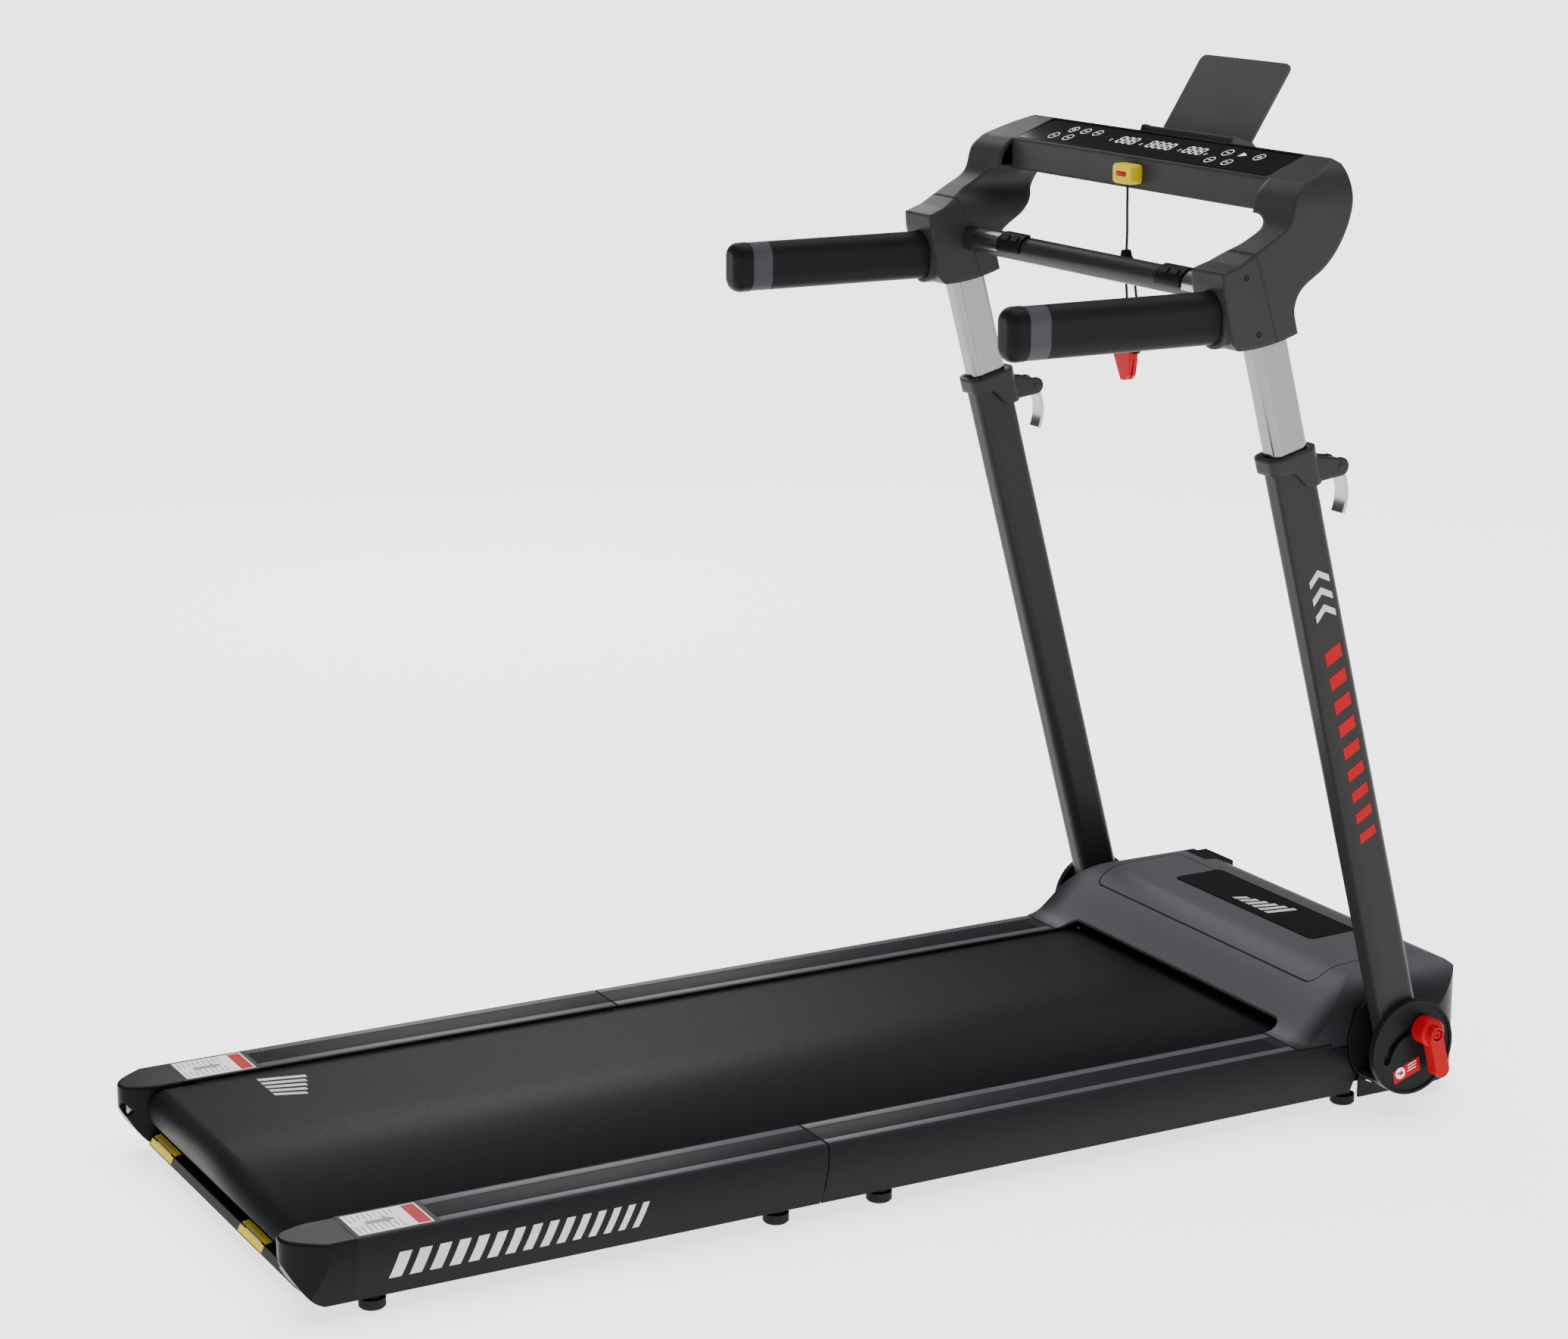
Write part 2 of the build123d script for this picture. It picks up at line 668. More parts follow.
with BuildPart() as rear_running_board:
    running_board(ahead(-512), REAR_END, REAR_END)

with BuildPart() as rear_cushions:
    cushions([ahead(-70), ahead(-270), ahead(-470)])

with BuildPart() as rear_feet:
    feet([ahead(-46), ahead(-501)])

with BuildPart() as rear_rail_covers:
    rail_covers(ahead(CAP_SEAM), REAR_END)

with BuildPart() as belt_rear:
    belt_half(ahead(REAR_ROLLER_Y), REAR_END, -1)

with BuildPart() as rear_axle:
    axle(ahead(REAR_ROLLER_Y), TUBE_INNER)

with BuildPart() as rear_roller:
    roller_tube(ahead(REAR_ROLLER_Y))

with BuildPart() as tension_bolts:
    with BuildSketch(across(ahead(-588))):
        with Locations((TUBE_INNER - 4, ROLLER_Z)):
            RegularPolygon(5.5, 6)
    extrude(amount=-5)
    with BuildSketch(across(ahead(-583))):
        with Locations((TUBE_INNER - 4, ROLLER_Z)):
            Circle(3)
    extrude(amount=-16)
    mirror(about=Plane.YZ)

with BuildPart() as rear_end_caps:
    with BuildSketch(across(ahead(REAR_TIP))):
        with BuildLine():
            rail_outline(RAIL_SECTION)
            Polyline(
                (RAIL_BULGE - 17.5, RAIL_FOOT), (BELT_OPENING, RAIL_FOOT), (BELT_OPENING, RAIL_TOP),
            )
        make_face()
    extrude(amount=REAR_TIP - CAP_SEAM)
    # plan outline: the outer corner sweeps in to a rounded tip
    with BuildSketch(Plane.XY):
        with BuildLine():
            Polyline((BELT_OPENING, ahead(CAP_SEAM)), (290, ahead(CAP_SEAM)), (290, ahead(-536)))
            Spline(
                [(290, ahead(-536)), (274, ahead(-571)), (246, ahead(-594)), (234, ahead(-592)),
                 (223, ahead(-575)), (BELT_OPENING, ahead(-556))],
                tangents=[(-0.1, -1), (-0.1, 1)],
            )
            Line((BELT_OPENING, ahead(-556)), (BELT_OPENING, ahead(CAP_SEAM)))
        make_face()
    extrude(amount=100, mode=Mode.INTERSECT)
    # side outline: the underside rises to the tip
    with BuildSketch(along(200)):
        with BuildLine():
            Polyline((ahead(-545), RAIL_FOOT - 4), (ahead(CAP_SEAM), RAIL_FOOT - 4),
                     (ahead(CAP_SEAM), 100), (ahead(-600), 100), (ahead(-600), 84))
            Spline(
                [(ahead(-600), 84), (ahead(-588), 50), (ahead(-572), 27), (ahead(-545), RAIL_FOOT - 4)],
                tangents=[(0.1, -1), (1, -0.3)],
            )
        make_face()
    extrude(amount=100, mode=Mode.INTERSECT)
    # hollow for the side tube, the axle plate and the adjusting bolt
    with Locations((246.5, ahead(-543), 50)):
        Box(41, 50, 50, mode=Mode.SUBTRACT)
    with BuildSketch(across(ahead(REAR_TIP - 1))):
        with Locations((TUBE_INNER - 4, ROLLER_Z)):
            Circle(7.5)
    extrude(amount=-34, mode=Mode.SUBTRACT)
    with BuildSketch(along(BELT_OPENING - 1)):
        with Locations((ahead(REAR_ROLLER_Y), ROLLER_Z)):
            Circle(AXLE_R + 0.5)
    extrude(amount=20, mode=Mode.SUBTRACT)
    fillet(faces().sort_by(Axis.Z)[-1].edges().filter_by(GeomType.LINE, reverse=True), radius=3)
    mirror(about=Plane.YZ)

with BuildPart() as rear_beam_cover:
    with BuildSketch(along(-BELT_OPENING + 0.2)):
        with BuildLine():
            Polyline(
                (ahead(-563), 15), (ahead(-570), 22), (ahead(-566), 31), (ahead(-534), 36),
                (ahead(-530), 33), (ahead(-530), 15), (ahead(-563), 15),
            )
        make_face()
        offset(amount=-3, mode=Mode.SUBTRACT)
    extrude(amount=2 * BELT_OPENING - 0.4)

# curved links of the two concealed hinges: each slides in the grooves of both hinge bodies
with BuildPart() as hinge_links:
    for x in (-TUBE_X, TUBE_X):
        with BuildSketch(along(x - 4.7)):
            ring_sector((FOLD_Y, FOLD_Z), 8.0, 18.0, -150, 120)
        extrude(amount=9.4)


# ---------------------------------------------------------------- mast
with BuildPart() as mast_tubes:
    with BuildSketch(up_the_mast(-MAST_DEPTH / 2, MAST_X)):
        RectangleRounded(MAST_WIDTH, MAST_DEPTH, MAST_CORNER)
    extrude(amount=MAST_LENGTH + MAST_DEPTH / 2)
    with BuildSketch(up_the_mast(56, MAST_X)):
        RectangleRounded(MAST_WIDTH - 2 * MAST_WALL, MAST_DEPTH - 2 * MAST_WALL, MAST_CORNER - MAST_WALL)
    extrude(amount=MAST_LENGTH, mode=Mode.SUBTRACT)
    # the foot is rounded about the pivot and solid round the pin and the locking bolt
    with BuildSketch(beside_the_mast(MAST_X - 30)):
        with Locations((0, -MAST_DEPTH / 2)):
            Rectangle(MAST_DEPTH + 10, MAST_DEPTH)
        Circle(MAST_DEPTH / 2, mode=Mode.SUBTRACT)
    extrude(amount=60, mode=Mode.SUBTRACT)
    with BuildSketch(along(MAST_X - 30)):
        with Locations((PIVOT_Y, PIVOT_Z)):
            Circle(PIN_R + RUNNING_FIT)
        with Locations(bolt_place(BOLT_ANGLE)):
            Circle(BOLT_R + RUNNING_FIT)
    extrude(amount=60, mode=Mode.SUBTRACT)
    mirror(about=Plane.YZ)

COLLAR_WIDTH = 46.0
COLLAR_DEPTH = 60.0
COLLAR_TOP = 737.0
EAR_X = 10.0

with BuildPart() as mast_collars:
    with BuildSketch(up_the_mast(COLLAR_TOP - 44, MAST_X - 1.5)):
        RectangleRounded(COLLAR_WIDTH, COLLAR_DEPTH, 13)
    extrude(amount=44)
    # the lower edge is an S-curve: short behind the mast and long in front
    with BuildSketch(beside_the_mast(MAST_X - 40)):
        with BuildLine():
            Polyline((-40, COLLAR_TOP - 17), (-40, COLLAR_TOP - 60), (40, COLLAR_TOP - 60),
                     (40, COLLAR_TOP - 42), (14, COLLAR_TOP - 42))
            Spline([(14, COLLAR_TOP - 42), (0, COLLAR_TOP - 29), (-14, COLLAR_TOP - 17)],
                   tangents=[(-1, 0.1), (-1, 0.1)])
            Line((-14, COLLAR_TOP - 17), (-40, COLLAR_TOP - 17))
        make_face()
    extrude(amount=80, mode=Mode.SUBTRACT)
    # ears for the clamp lever
    for x in (MAST_X - EAR_X - 4, MAST_X + EAR_X):
        with BuildSketch(beside_the_mast(x)):
            with BuildLine():
                Polyline((COLLAR_DEPTH / 2 - 4, COLLAR_TOP - 12), (LEVER_FORWARD, LEVER_UP + 10))
                TangentArc((LEVER_FORWARD, LEVER_UP + 10), (LEVER_FORWARD, LEVER_UP - 10), tangent=(1, 0))
                Polyline((LEVER_FORWARD, LEVER_UP - 10), (COLLAR_DEPTH / 2 - 4, COLLAR_TOP - 42),
                         (COLLAR_DEPTH / 2 - 4, COLLAR_TOP - 12))
            make_face()
        extrude(amount=4)
    # rivet that the lever turns on
    with BuildSketch(beside_the_mast(MAST_X - EAR_X - 5)):
        with Locations((LEVER_FORWARD, LEVER_UP)):
            Circle(3)
    extrude(amount=2 * EAR_X + 10)
    with BuildSketch(up_the_mast(COLLAR_TOP - 60, MAST_X)):
        RectangleRounded(MAST_WIDTH, MAST_DEPTH, MAST_CORNER)
    extrude(amount=MAST_LENGTH - COLLAR_TOP + 60, mode=Mode.SUBTRACT)
    with BuildSketch(up_the_mast(COLLAR_TOP - 60, MAST_X)):
        RectangleRounded(CHROME_WIDTH + 0.5, CHROME_DEPTH + 0.5, CHROME_CORNER)
    extrude(amount=80, mode=Mode.SUBTRACT)
    mirror(about=Plane.YZ)

with BuildPart() as clamp_lever_r:
    with BuildSketch(beside_the_mast(MAST_X - EAR_X + 0.3)):
        with Locations((LEVER_FORWARD, LEVER_UP)):
            Circle(8.5)
            Circle(3 + RUNNING_FIT, mode=Mode.SUBTRACT)
        with BuildLine():
            Spline(
                [(LEVER_FORWARD + 5.5, LEVER_UP - 6), (LEVER_FORWARD + 7, LEVER_UP - 26),
                 (LEVER_FORWARD - 4, LEVER_UP - 54)],
            )
            Spline(
                [(LEVER_FORWARD + 1, LEVER_UP - 8), (LEVER_FORWARD + 3, LEVER_UP - 26),
                 (LEVER_FORWARD - 7.5, LEVER_UP - 52)],
            )
            Line((LEVER_FORWARD + 5.5, LEVER_UP - 6), (LEVER_FORWARD + 1, LEVER_UP - 8))
            Line((LEVER_FORWARD - 4, LEVER_UP - 54), (LEVER_FORWARD - 7.5, LEVER_UP - 52))
        make_face()
    extrude(amount=2 * EAR_X - 0.6)

with BuildPart() as clamp_lever_l:
    mirror(clamp_lever_r.part, about=Plane.YZ)

KNOB_REACH = 54.0
KNOB_DROOP = -75.0          # degrees from +Y towards +Z
KNOB_BASE = COVER_OUTER_X + 8.8
BOLT_PLACE = Vector(*bolt_place(BOLT_ANGLE))
KNOB_TIP = BOLT_PLACE + Vector(KNOB_REACH - 9, 0).rotate(Axis.Z, KNOB_DROOP)

with BuildPart() as lock_knob_r:
    with BuildSketch(along(KNOB_BASE)):
        with Locations(BOLT_PLACE):
            Circle(16)
    extrude(amount=20)
    fillet(edges().filter_by(GeomType.CIRCLE).group_by(Axis.X)[-1], radius=3)
    # lever of the knob, leaning a little forward of straight down
    with BuildSketch(along(KNOB_BASE + 9)):
        with BuildLine():
            Line(BOLT_PLACE, KNOB_TIP)
        trace(line_width=18)
        with Locations(KNOB_TIP):
            Circle(9.5)
    extrude(amount=15)
    with BuildSketch(along(KNOB_BASE + 9)):
        with Locations(BOLT_PLACE):
            Circle(9)
    extrude(amount=18)
    with BuildSketch(along(KNOB_BASE + 24)):
        with Locations(BOLT_PLACE):
            Circle(6.5)
    extrude(amount=10, mode=Mode.SUBTRACT)
    # the bolt that the knob is fixed to, and its head
    with BuildSketch(along(MAST_X - 8)):
        with Locations(BOLT_PLACE):
            Circle(BOLT_R)
    extrude(amount=KNOB_BASE - MAST_X + 8)
    with BuildSketch(along(KNOB_BASE + 24)):
        with Locations(BOLT_PLACE):
            Circle(5)
    extrude(amount=2)
    with Locations((KNOB_BASE + 26, BOLT_PLACE.X, BOLT_PLACE.Y)):
        Box(2, 6, 1.4, mode=Mode.SUBTRACT)
        Box(2, 1.4, 6, mode=Mode.SUBTRACT)

with BuildPart() as lock_knob_l:
    mirror(lock_knob_r.part, about=Plane.YZ)


# ---------------------------------------------------------------- console
CHROME_WALL = 1.5

with BuildPart() as chrome_tubes:
    with BuildSketch(up_the_mast(CHROME_LOW, MAST_X)):
        RectangleRounded(CHROME_WIDTH, CHROME_DEPTH, CHROME_CORNER)
        RectangleRounded(CHROME_WIDTH - 2 * CHROME_WALL, CHROME_DEPTH - 2 * CHROME_WALL,
                         CHROME_CORNER - CHROME_WALL, mode=Mode.SUBTRACT)
    extrude(amount=CHROME_HIGH - CHROME_LOW)
    mirror(about=Plane.YZ)

SHELL_WALL = 4.0
SHELL_TOP = 1085.0
SHELL_HALF = 324.0
SHELL_LOW = 892.0
WINDOW_HALF = 284.0
WINDOW_LOW_HALF = 266.0
WINDOW_TOP = 1026.0
BACK_Y = ahead(604)


# the console's side line, clockwise from the middle of its sloping top
CONSOLE_SIDE = [
    (ahead(572), 1072), (ahead(599), 1083), (BACK_Y, 1078), (BACK_Y, 1046), (ahead(592), 1002),
    (ahead(566), 970), (ahead(537), 946), (ahead(533), 934), (ahead(538), 906), (ahead(500), 895.5),
    (ahead(463), SHELL_LOW), (ahead(456), 899), (ahead(442), 958), (ahead(441), 974), (ahead(462), 981.5),
    (ahead(500), 1004), (ahead(524), 1022), (ahead(531), 1046), (ahead(545), 1061), (ahead(572), 1072),
]


def console_form(inset):
    """The console's solid form: a C-shaped side profile cut to a front view like an arch."""
    side = moved_in(CONSOLE_SIDE, inset)
    half = SHELL_HALF - inset
    corner = 48 - inset
    top = SHELL_TOP - inset
    window_low = WINDOW_LOW_HALF + inset
    window = WINDOW_HALF + inset
    window_top = WINDOW_TOP + inset
    with BuildPart() as form:
        with BuildSketch(along(-340)):
            with BuildLine():
                Polyline(*side[:4])
                Spline(side[3:9], tangents=[(-0.02, -1), (0.25, -1)])
                Spline(side[8:11], tangents=[(-1, -0.4), (-1, 0)])
                Polyline(*side[10:16])
                Spline(side[15:19], tangents=[(1, 0.5), (1, 0.9)])
                Line(side[18], side[19])
            make_face()
        extrude(amount=680)
        # an arch seen from behind the user: two legs under a bar with rounded corners
        with BuildSketch(across(ahead(430))):
            with Locations((0, top / 2)):
                Rectangle(2 * half, top)
            fillet(vertices().group_by(Axis.Y)[-1], radius=corner)
            with BuildLine():
                Polyline((window_low, 0), (window_low, 968))
                Spline([(window_low, 968), (window, 1001), (window - 22, window_top)],
                       tangents=[(0.1, 1), (-1, 0.12)])
                Line((window - 22, window_top), (22 - window, window_top))
                Spline([(22 - window, window_top), (-window, 1001), (-window_low, 968)],
                       tangents=[(-1, -0.12), (0.1, -1)])
                Polyline((-window_low, 968), (-window_low, 0), (window_low, 0))
            make_face(mode=Mode.SUBTRACT)
        extrude(amount=-200, mode=Mode.INTERSECT)
        # between the arms the bar's rear face stands further forward
        with Locations((0, ahead(430 + inset / 2), 1040)):
            Box(2 * 254, 230 + inset, 100, mode=Mode.SUBTRACT)
    return form.part


def socket_zone():
    """The corner of each arm, behind its seam, that is moulded as a separate handle socket."""
    with BuildPart() as zone:
        with BuildSketch(along(-340)):
            with BuildLine():
                Polyline((ahead(400), 1000), (ahead(463), 1000), (ahead(483), 989), (ahead(511), 903),
                         (ahead(514), 870), (ahead(400), 870), (ahead(400), 1000))
            make_face()
        extrude(amount=680)
    return zone.part


GRIP_WIDTH = 36.0
GRIP_HEIGHT = 56.0
GRIP_CORNER = 17.0
GRIP_ROOT = 462.0
GRIP_END = 213.0

console_outside = console_form(0.0)
console_inside = console_form(SHELL_WALL)
socket_region = socket_zone()

with BuildPart() as console_shell:
    add(console_outside)
    add(console_inside, mode=Mode.SUBTRACT)
    add(socket_region, mode=Mode.SUBTRACT)
    # way in for the chrome tubes
    with BuildSketch(up_the_mast(780, MAST_X)):
        RectangleRounded(CHROME_WIDTH, CHROME_DEPTH, CHROME_CORNER)
    extrude(amount=CHROME_HIGH - 780, mode=Mode.SUBTRACT)
    with BuildSketch(up_the_mast(780, -MAST_X)):
        RectangleRounded(CHROME_WIDTH, CHROME_DEPTH, CHROME_CORNER)
    extrude(amount=CHROME_HIGH - 780, mode=Mode.SUBTRACT)
    # seat for the screen
    screen_plane = Plane(origin=(0, ahead(573.5), 1072.2), x_dir=(1, 0, 0),
                         z_dir=(0, -sin(radians(SCREEN_TILT)), cos(radians(SCREEN_TILT))))
    with BuildSketch(screen_plane.offset(-2.4)):
        RectangleRounded(494, 54, 5)
    extrude(amount=10, mode=Mode.SUBTRACT)

with BuildPart() as screen_glass:
    with BuildSketch(screen_plane.offset(-2.4)):
        RectangleRounded(493.4, 53.4, 4.7)
    extrude(amount=2.2)

with BuildPart() as handle_sockets:
    add(console_outside & socket_region)
    add(console_inside, mode=Mode.SUBTRACT)
    # raised oval collar round each grip
    with BuildSketch(across(ahead(448))):
        with Locations((-HANDLE_X, HANDLE_Z), (HANDLE_X, HANDLE_Z)):
            RectangleRounded(GRIP_WIDTH + 10, GRIP_HEIGHT + 10, GRIP_CORNER + 5)
    extrude(amount=-20)
    with BuildSketch(across(ahead(400))):
        with Locations((-HANDLE_X, HANDLE_Z), (HANDLE_X, HANDLE_Z)):
            RectangleRounded(GRIP_WIDTH, GRIP_HEIGHT, GRIP_CORNER)
    extrude(amount=-70, mode=Mode.SUBTRACT)
    with BuildSketch(up_the_mast(780, MAST_X)):
        RectangleRounded(CHROME_WIDTH, CHROME_DEPTH, CHROME_CORNER)
    extrude(amount=CHROME_HIGH - 780, mode=Mode.SUBTRACT)
    with BuildSketch(up_the_mast(780, -MAST_X)):
        RectangleRounded(CHROME_WIDTH, CHROME_DEPTH, CHROME_CORNER)
    extrude(amount=CHROME_HIGH - 780, mode=Mode.SUBTRACT)

with BuildPart() as handle_bars:
    with BuildSketch(across(ahead(228))):
        with Locations((-HANDLE_X, HANDLE_Z), (HANDLE_X, HANDLE_Z)):
            RectangleRounded(GRIP_WIDTH - 12, GRIP_HEIGHT - 12, 10)
            RectangleRounded(GRIP_WIDTH - 16, GRIP_HEIGHT - 16, 8, mode=Mode.SUBTRACT)
    extrude(amount=228 - GRIP_ROOT)

with BuildPart() as grips:
    with BuildSketch(across(ahead(GRIP_END))):
        with Locations((-HANDLE_X, HANDLE_Z), (HANDLE_X, HANDLE_Z)):
            RectangleRounded(GRIP_WIDTH, GRIP_HEIGHT, GRIP_CORNER)
    extrude(amount=GRIP_END - GRIP_ROOT)
    with BuildSketch(across(ahead(228))):
        with Locations((-HANDLE_X, HANDLE_Z), (HANDLE_X, HANDLE_Z)):
            RectangleRounded(GRIP_WIDTH - 12, GRIP_HEIGHT - 12, 10)
    extrude(amount=-300, mode=Mode.SUBTRACT)

with BuildPart() as grip_caps:
    with BuildSketch(across(ahead(GRIP_END))):
        with Locations((-HANDLE_X, HANDLE_Z), (HANDLE_X, HANDLE_Z)):
            RectangleRounded(GRIP_WIDTH + 1, GRIP_HEIGHT + 1, GRIP_CORNER)
    extrude(amount=22)
    fillet(faces().group_by(Axis.Y)[0].edges(), radius=12)

with BuildPart() as crossbar:
    with BuildSketch(along(-WINDOW_LOW_HALF)):
        with Locations((BAR_Y, BAR_Z)):
            Circle(BAR_R)
            Circle(BAR_R - 2, mode=Mode.SUBTRACT)
    extrude(amount=2 * WINDOW_LOW_HALF)

PLATE_START = 187.0
PLATE_END = 243.0
PAD_START = 138.0
PAD_END = 186.0
BUTTON_ANGLE = 135.0
BUTTON_X = (152.0, 171.0)
BUTTON_LOW = 16.2
BUTTON_TOP = 18.8

with BuildPart() as pulse_plates:
    with BuildSketch(along(PLATE_START)):
        ring_sector((BAR_Y, BAR_Z), BAR_R, BAR_R + 1.5, 80, 120)
    extrude(amount=PLATE_END - PLATE_START)
    mirror(about=Plane.YZ)

with BuildPart() as button_pads:
    with BuildSketch(along(PAD_START)):
        ring_sector((BAR_Y, BAR_Z), BAR_R, BAR_R + 3.2, 90, 100)
    extrude(amount=PAD_END - PAD_START)
    for x in BUTTON_X:
        with BuildSketch(radial_plane(x, BAR_R + 0.6, BUTTON_ANGLE)):
            RectangleRounded(14.4, 8.4, 2)
        extrude(amount=6, mode=Mode.SUBTRACT)
    mirror(about=Plane.YZ)


def bar_button(x):
    """One small push button on the crossbar."""
    with BuildPart() as button:
        with BuildSketch(radial_plane(x, BUTTON_LOW, BUTTON_ANGLE)):
            RectangleRounded(13.8, 7.8, 1.8)
        extrude(amount=BUTTON_TOP - BUTTON_LOW)
        chamfer(button.faces().sort_by(Axis.Z)[-1].edges(), length=0.3)
    return button


speed_up_button = bar_button(BUTTON_X[1])
speed_down_button = bar_button(BUTTON_X[0])
start_button = bar_button(-BUTTON_X[1])
stop_button = bar_button(-BUTTON_X[0])

with BuildPart() as tablet_tray:
    with BuildSketch(along(-TRAY_HALF)):
        with BuildLine():
            Polyline((BACK_Y, 1060), (ahead(642), 1060), (ahead(642), 1065), (ahead(622), 1065),
                     (ahead(622), 1086), (ahead(617), 1086), (ahead(615), 1068), (BACK_Y, 1068),
                     (BACK_Y, 1060))
        make_face()
    extrude(amount=2 * TRAY_HALF)
    # cheeks that hold the plate's trunnions
    for x in (-TRAY_HALF - 4, TRAY_HALF):
        with BuildSketch(along(x)):
            with BuildLine():
                Polyline((BACK_Y, 1058), (ahead(640), 1058), (ahead(646), 1064), (ahead(646), 1076),
                         (ahead(642), 1080), (ahead(622), 1087), (ahead(616), 1087), (ahead(611), 1070),
                         (BACK_Y, 1070), (BACK_Y, 1058))
            make_face()
            with Locations((PLATE_PIVOT_Y, PLATE_PIVOT_Z)):
                Circle(2.5 + RUNNING_FIT, mode=Mode.SUBTRACT)
        extrude(amount=4)

with BuildPart() as tablet_plate:
    plate_plane = Plane(origin=(0, PLATE_PIVOT_Y, PLATE_PIVOT_Z), x_dir=(1, 0, 0),
                        z_dir=(0, -sin(radians(PLATE_RISE)), cos(radians(PLATE_RISE))))
    with BuildSketch(plate_plane.offset(-PLATE_THICK / 2)):
        with Locations((0, PLATE_LENGTH / 2)):
            RectangleRounded(2 * TRAY_HALF - 2, PLATE_LENGTH, 9)
        with Locations((0, 8)):
            Rectangle(2 * TRAY_HALF - 2, 16)
    extrude(amount=PLATE_THICK)
    fillet(edges().filter_by(GeomType.CIRCLE), radius=0.8)
    with BuildSketch(along(-TRAY_HALF - 3)):
        with Locations((PLATE_PIVOT_Y, PLATE_PIVOT_Z)):
            Circle(2.5)
    extrude(amount=2 * TRAY_HALF + 6)


# ---------------------------------------------------------------- safety key and its cord
KEY_Z = 1043.0
KEY_FACE = ahead(545)
CORD_Y = ahead(538)
CORD_R = 1.5

with BuildPart() as safety_key:
    with Locations((0, KEY_FACE - 8.1, KEY_Z)):
        Box(36, 16, 22)
    fillet(edges().filter_by(Axis.Y), radius=5)
    fillet(faces().sort_by(Axis.Y)[0].edges(), radius=2)


def limp_cord(points):
    """A thin cord through these points, with the largest arc that each corner has room for."""
    corners = [Vector(*point) for point in points]
    radii = []
    for before, corner, after in zip(corners, corners[1:], corners[2:]):
        half_turn = radians((corner - before).get_angle(after - corner)) / 2
        shorter = min((corner - before).length, (after - corner).length)
        radii.append(0.45 * shorter / tan(half_turn))
    with BuildPart() as cord:
        with BuildLine() as route:
            FilletPolyline(*corners, radius=radii)
        centreline = route.wires()[0]
        with BuildSketch(Plane(origin=centreline @ 0, z_dir=centreline % 0)):
            Circle(CORD_R)
        sweep()
    expected = pi * CORD_R**2 * centreline.length
    print("cord radii", [round(radius, 1) for radius in radii])
    print("length", round(centreline.length, 1), "volume ratio", round(cord.part.volume / expected, 3))
    return cord


BEAD_LOW = 934.0
CLIP_TOP = 858.0
CLIP_SIDE = 19.0

key_cord = limp_cord([
    (0, CORD_Y, KEY_Z - 11), (0, CORD_Y, 1006), (0.8, CORD_Y + 0.6, 974), (-0.6, CORD_Y - 0.2, 938),
    (3, CORD_Y + 0.6, 904), (5, CORD_Y, 884), (5, CORD_Y, CLIP_TOP),
])
loop_cord = limp_cord([
    (19, CORD_Y, BEAD_LOW), (19, CORD_Y, 918), (25, CORD_Y + 0.6, 898), (32, CORD_Y, 876),
    (34.5, CORD_Y, 854), (30, CORD_Y, 844), (CLIP_SIDE, CORD_Y, 844),
])

with BuildPart() as cord_bead:
    with BuildSketch(across(CORD_Y - 4.5)):
        with BuildLine():
            Polyline((-11, 940), (-5, 950), (-3, 958), (3, 958), (6, 951), (25, 940), (25, BEAD_LOW),
                     (-11, BEAD_LOW), (-11, 940))
        make_face()
        fillet(vertices(), radius=1.6)
    extrude(amount=-9)
    add(key_cord.part, mode=Mode.SUBTRACT)

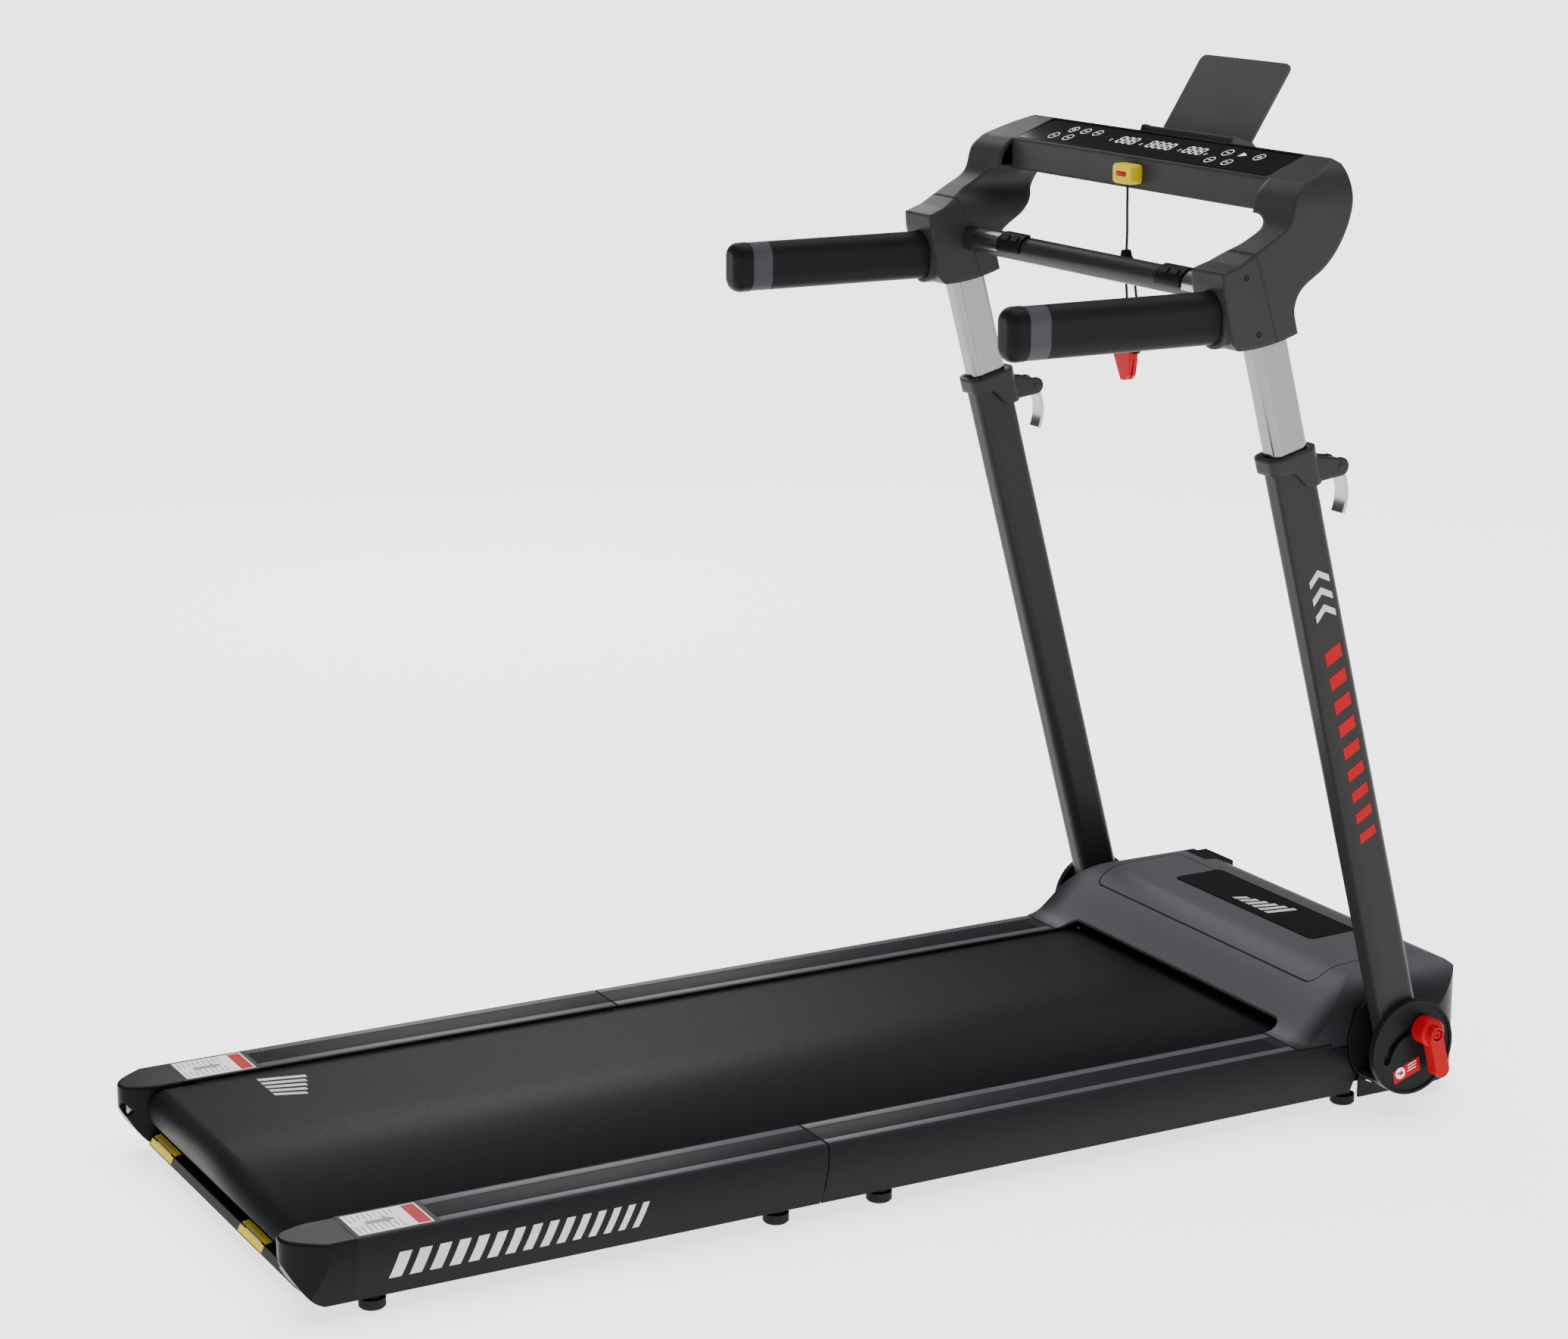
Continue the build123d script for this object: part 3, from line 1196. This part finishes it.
with BuildPart() as key_clip:
    with BuildSketch(across(CORD_Y - 6)):
        with BuildLine():
            Polyline((-10, CLIP_TOP), (CLIP_SIDE, CLIP_TOP), (CLIP_SIDE, 834), (16, 818), (10, 812),
                     (3, 812), (-14, 842), (-10, CLIP_TOP))
        make_face()
        fillet(vertices(), radius=1.5)
    extrude(amount=-12)
    # the jaws' mouth
    with BuildSketch(along(-30)):
        with BuildLine():
            Polyline((CORD_Y - 1, 806), (CORD_Y + 2, 806), (CORD_Y + 1, 836), (CORD_Y, 836), (CORD_Y - 1, 806))
        make_face()
    extrude(amount=60, mode=Mode.SUBTRACT)


# ---------------------------------------------------------------- every piece to its own file
pieces = {
    "front_frame": front_frame, "front_running_board": front_running_board,
    "front_cushions": front_cushions, "front_feet": front_feet,
    "front_rail_covers": front_rail_covers, "belt_front": belt_front, "front_axle": front_axle,
    "motor_can": motor_can, "drive_belt": drive_belt, "control_board": control_board,
    "belly_pan": belly_pan, "motor_hood": motor_hood, "hood_panel": hood_panel,
    "hood_catch": hood_catch, "power_inlet": power_inlet, "pivot_covers": pivot_covers,
    "front_fasteners": front_fasteners,
    "front_roller": front_roller, "motor_rotor": motor_rotor,
    "power_rocker": power_rocker, "transport_wheels": transport_wheels,
    "rear_frame": rear_frame, "rear_running_board": rear_running_board,
    "rear_cushions": rear_cushions, "rear_feet": rear_feet, "rear_rail_covers": rear_rail_covers,
    "belt_rear": belt_rear, "rear_axle": rear_axle, "tension_bolts": tension_bolts,
    "rear_end_caps": rear_end_caps, "rear_beam_cover": rear_beam_cover,
    "rear_roller": rear_roller, "hinge_links": hinge_links,
    "mast_tubes": mast_tubes, "mast_collars": mast_collars,
    "clamp_lever_r": clamp_lever_r, "clamp_lever_l": clamp_lever_l,
    "lock_knob_r": lock_knob_r, "lock_knob_l": lock_knob_l,
    "chrome_tubes": chrome_tubes, "console_shell": console_shell,
    "handle_sockets": handle_sockets, "screen_glass": screen_glass,
    "handle_bars": handle_bars, "grips": grips, "grip_caps": grip_caps, "crossbar": crossbar,
    "pulse_plates": pulse_plates, "button_pads": button_pads,
    "speed_up_button": speed_up_button, "speed_down_button": speed_down_button,
    "start_button": start_button, "stop_button": stop_button,
    "tablet_tray": tablet_tray, "tablet_plate": tablet_plate,
    "safety_key": safety_key, "key_cord": key_cord, "loop_cord": loop_cord,
    "cord_bead": cord_bead, "key_clip": key_clip,
}
for name, piece in pieces.items():
    piece.part.label = name
    export_step(piece.part, f"parts/{name}.step")
print(len(pieces), "pieces")
